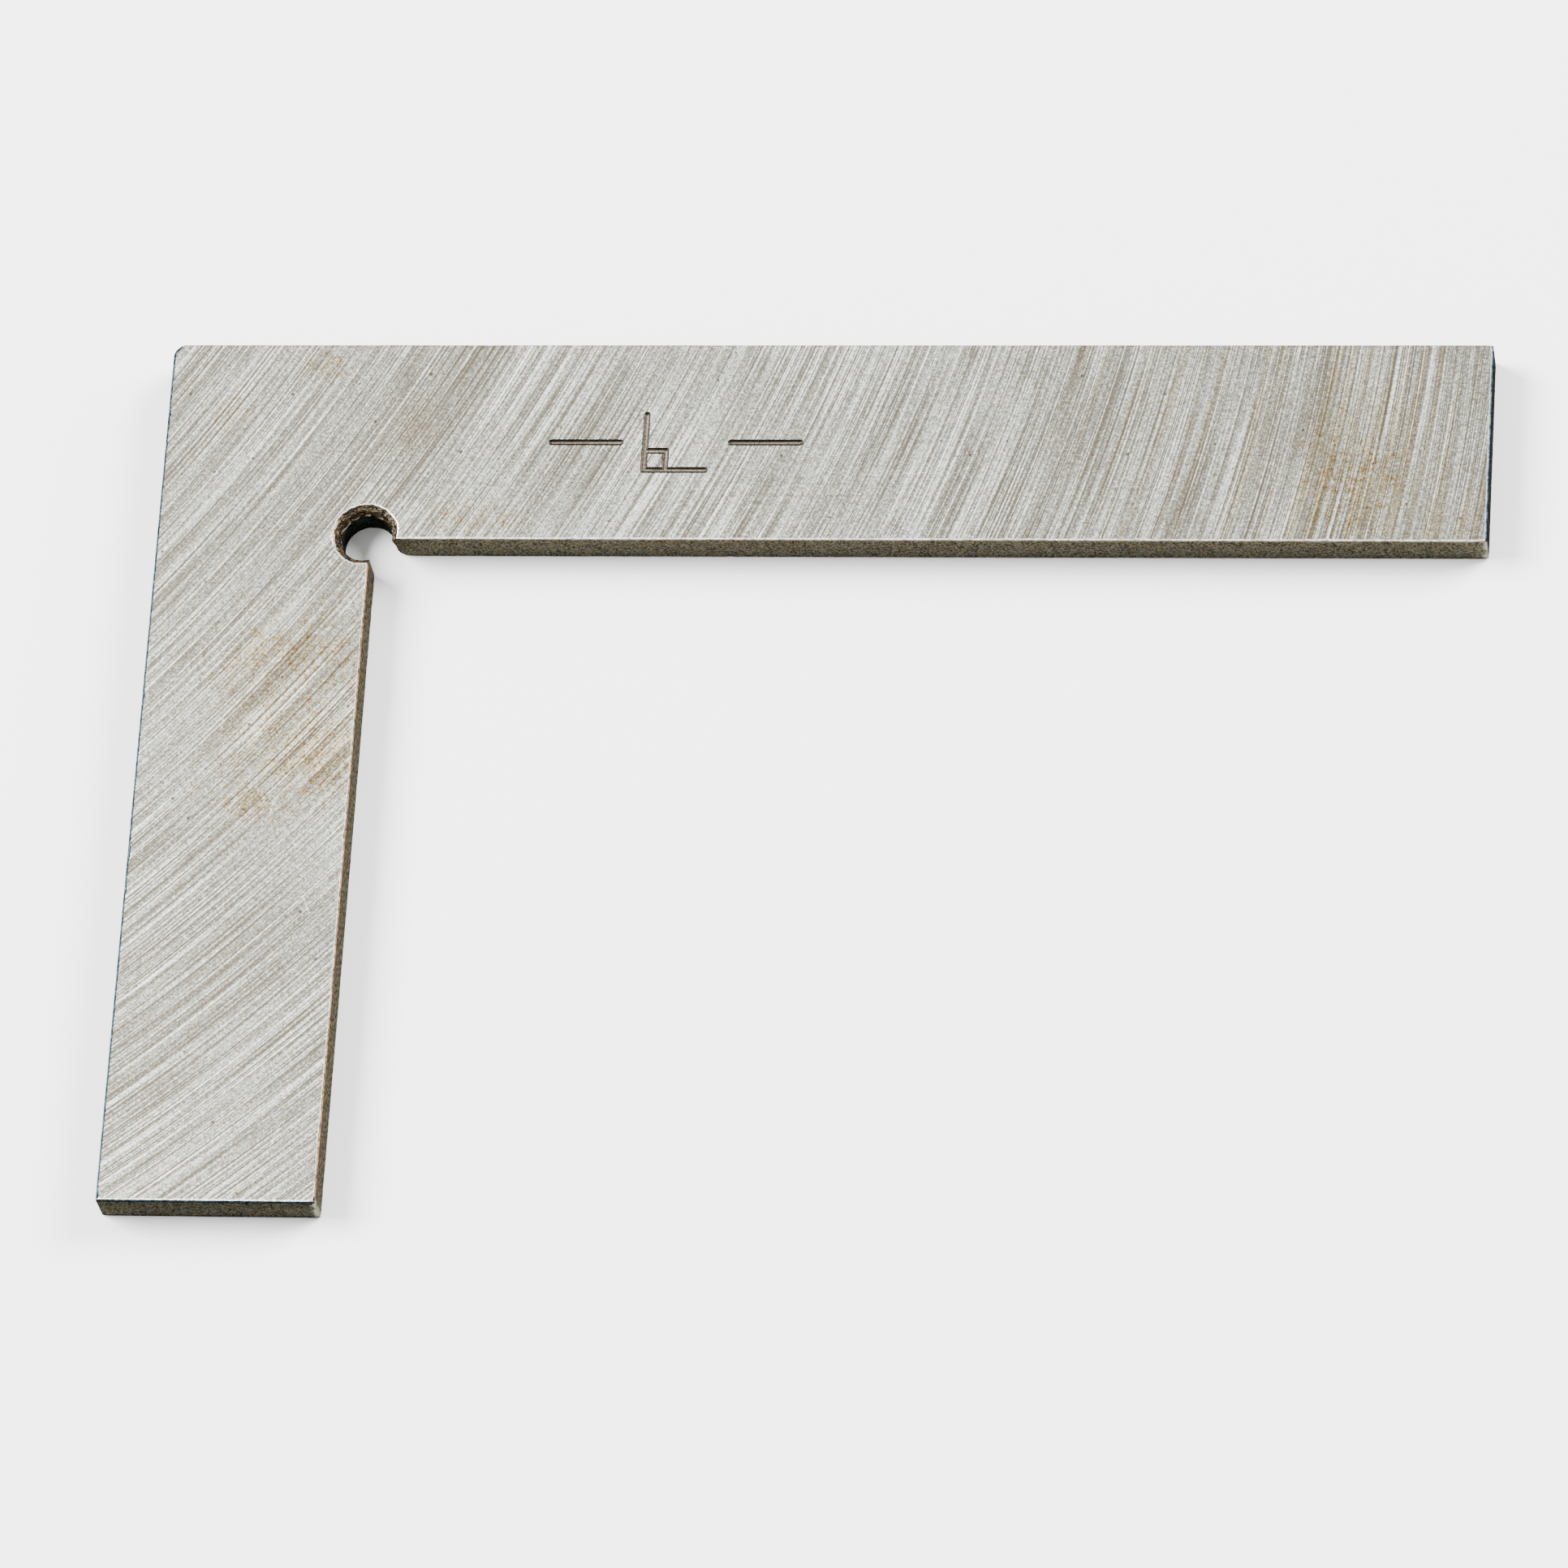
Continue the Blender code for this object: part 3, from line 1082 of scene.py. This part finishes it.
def dark_steel(name, front, back, grain_lumps=WALL_GRAIN_LUMPS, glance=WALL_GLANCE):
    """A grainy wall, whose colour changes from the front face to the back; its darkness is partly
    painted shade, and the callers' lighter back colour is painted light.
    """
    graph = Graph(name)
    grain = graph.lumps(*grain_lumps)
    blots = graph.lumps(*WALL_BLOT_LUMPS)
    height = graph.math("MULTIPLY_ADD", blots, WALL_DEPTH_WAVER, graph.z)
    height = graph.step(height, *WALL_DEPTHS)
    colour = graph.mix(height, back, front)
    grey = graph.add(1.0, graph.times(grain, WALL_GRAIN_SHADE), graph.times(blots, WALL_BLOT_SHADE))
    colour = graph.shade(colour, graph.math("MAXIMUM", grey, WALL_DARKEST))
    warm = graph.step(graph.lumps(*WALL_WARM_LUMPS), *WALL_WARM_STEP)
    colour = graph.tint(warm, colour, WALL_WARMTH)
    colour = graph.mix(corner_pale_patches(graph), colour, CORNER_PALE_COLOUR)
    graph.bump(grain, WALL_RELIEF)
    return graph.steel(colour, WALL_ROUGHNESS, glance)


def patchy_edge_steel(name, dark, light, glance=FULL_GLANCE):
    """An edge: its light colour in patches, its dark one elsewhere. On the lip the light colour is a
    painted highlight; on the blue edges both colours are painted reflection.
    """
    graph = Graph(name)
    paler = graph.lumps(*EDGE_PATCH_LUMPS)
    colour = graph.mix(graph.step(paler, *EDGE_PATCH_STEP), dark, light)
    graph.bump(graph.lumps(*EDGE_GRAIN_LUMPS), EDGE_RELIEF)
    return graph.steel(colour, EDGE_ROUGHNESS, glance)


def hole_steel():
    """The relief hole's wall: torn and tan in front; black behind, the burnished part darkened
    further as painted shadow; with a bright broken ledge, a painted highlight.
    """
    graph = Graph("hole_wall")
    grain = graph.lumps(*HOLE_GRAIN_LUMPS)
    lumps = graph.lumps(*HOLE_LUMPS)
    step_height = (PLATE_HIGH.z - PLATE_LOW.z - HOLE_STEP_DEPTH) / MM
    level = graph.math("MULTIPLY_ADD", lumps, HOLE_STEP_WAVER, graph.z)
    level = graph.minus(level, step_height)
    torn = graph.step(level, *HOLE_TORN_STEP)
    side = [INNER_X / MM + place for place in HOLE_SIDE_SPAN]
    side = graph.step(graph.x, *side, *HOLE_SIDE_SHADE)
    # Painted shadow: black below the hole's step, over the burnished part's own dark
    colour = graph.mix(torn, HOLE_BLACK, graph.shade(HOLE_TAN, side))
    orange = graph.step(graph.lumps(*HOLE_ORANGE_LUMPS), *HOLE_ORANGE_STEP)
    orange = graph.times(orange, torn)
    colour = graph.mix(orange, colour, HOLE_ORANGE)
    dark = graph.step(graph.add(grain, lumps), *HOLE_PIT_STEP)
    colour = graph.mix(dark, HOLE_PIT, colour)
    # Painted highlight along the hole's step
    ledge = graph.fade(graph.math("ABSOLUTE", level), *HOLE_LEDGE_FADE)
    broken = graph.step(graph.lumps(*HOLE_LEDGE_LUMPS), *HOLE_LEDGE_STEP)
    ledge = graph.times(ledge, broken)
    colour = graph.mix(ledge, colour, HOLE_LEDGE)
    graph.bump(graph.add(grain, lumps), HOLE_RELIEF)
    return graph.steel(colour, WALL_ROUGHNESS, WALL_GLANCE)


def groove_steel():
    """The engraved groove: dark on its flanks, painted shade, with a tan bottom."""
    graph = Graph("engraved_groove")
    depth = graph.minus((PLATE_HIGH.z - PLATE_LOW.z) / MM, graph.z)
    bottom = graph.step(depth, GROOVE_BOTTOM_FROM * GROOVE_DEPTH / MM, GROOVE_DEPTH / MM)
    colour = graph.mix(bottom, GROOVE_FLANK, GROOVE_BOTTOM)
    grain = graph.lumps(*GROOVE_LUMPS)
    grey = graph.math("MULTIPLY_ADD", grain, GROOVE_SHADE, 1.0)
    grey = graph.math("MAXIMUM", grey, GROOVE_DARKEST)
    return graph.steel(graph.shade(colour, grey), GROOVE_ROUGHNESS)


# ---------------------------------------------------------------- the whole plate


def plate_finishes():
    """The material of each slot."""
    # The blue edges: painted reflection, a dark blue line along the outer short edge and the leg
    # ends, with its glancing reflections dimmed as painted shade
    blue_reflection = patchy_edge_steel("blue_reflection_edge", (0.004, 0.010, 0.014), (0.02, 0.034, 0.042), END_GLANCE)
    browned = patchy_edge_steel("browned_edge", (0.03, 0.022, 0.014), (0.12, 0.09, 0.06))
    rusted = patchy_edge_steel("rusted_edge", (0.03, 0.018, 0.009), (0.12, 0.068, 0.03))
    return {
        "face": ground_face(),
        # The lip: a painted highlight, the bright line along the rounded front edge, broken in
        # patches
        "lip": patchy_edge_steel("lip_highlight", (0.55, 0.54, 0.49), (1.0, 1.0, 1.0)),
        "blue_edge": blue_reflection,
        "brown_edge": browned,
        "rust_edge": rusted,
        # Walls: very dark, partly dark steel and partly painted shade for the dark surroundings they
        # mirror, down to the near-black long end; the second colour, at the back, is lighter on every
        # wall, painted light against the floor's shade
        "inner_wall": dark_steel("inner_wall", (0.063, 0.058, 0.044), (0.072, 0.070, 0.054)),
        "brown_wall": dark_steel(
            "brown_wall", (0.080, 0.071, 0.051), (0.085, 0.082, 0.064), COARSE_WALL_LUMPS
        ),
        "outer_wall": dark_steel("outer_wall", (0.08, 0.074, 0.056), (0.10, 0.096, 0.074)),
        "short_end": dark_steel("short_end", (0.043, 0.042, 0.033), (0.068, 0.066, 0.051)),
        "long_end": dark_steel(
            "long_end", (0.010, 0.012, 0.009), (0.020, 0.018, 0.012), glance=END_GLANCE
        ),
        "hole": hole_steel(),
        "groove": groove_steel(),
    }


def build_plate():
    rim, chamfer = plate_outline(frame["nodes"]["square_plate"])
    sharp_rim, corners = square_corners(rim)
    hole = relief_hole(rim)
    mesh = plate_mesh(divided(sharp_rim, corners), corners, chamfer, hole)
    plate = bpy.data.objects.new("steel_square", mesh)
    bpy.context.scene.collection.objects.link(plate)
    finishes = plate_finishes()
    for slot in SLOTS:
        mesh.materials.append(finishes[slot])
    engrave(plate)
    plate.data.set_sharp_from_angle(angle=SHARP_ANGLE)
    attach(plate, "root")
    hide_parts("square_plate")


point_camera()
light_studio()
lay_floor()
build_plate()
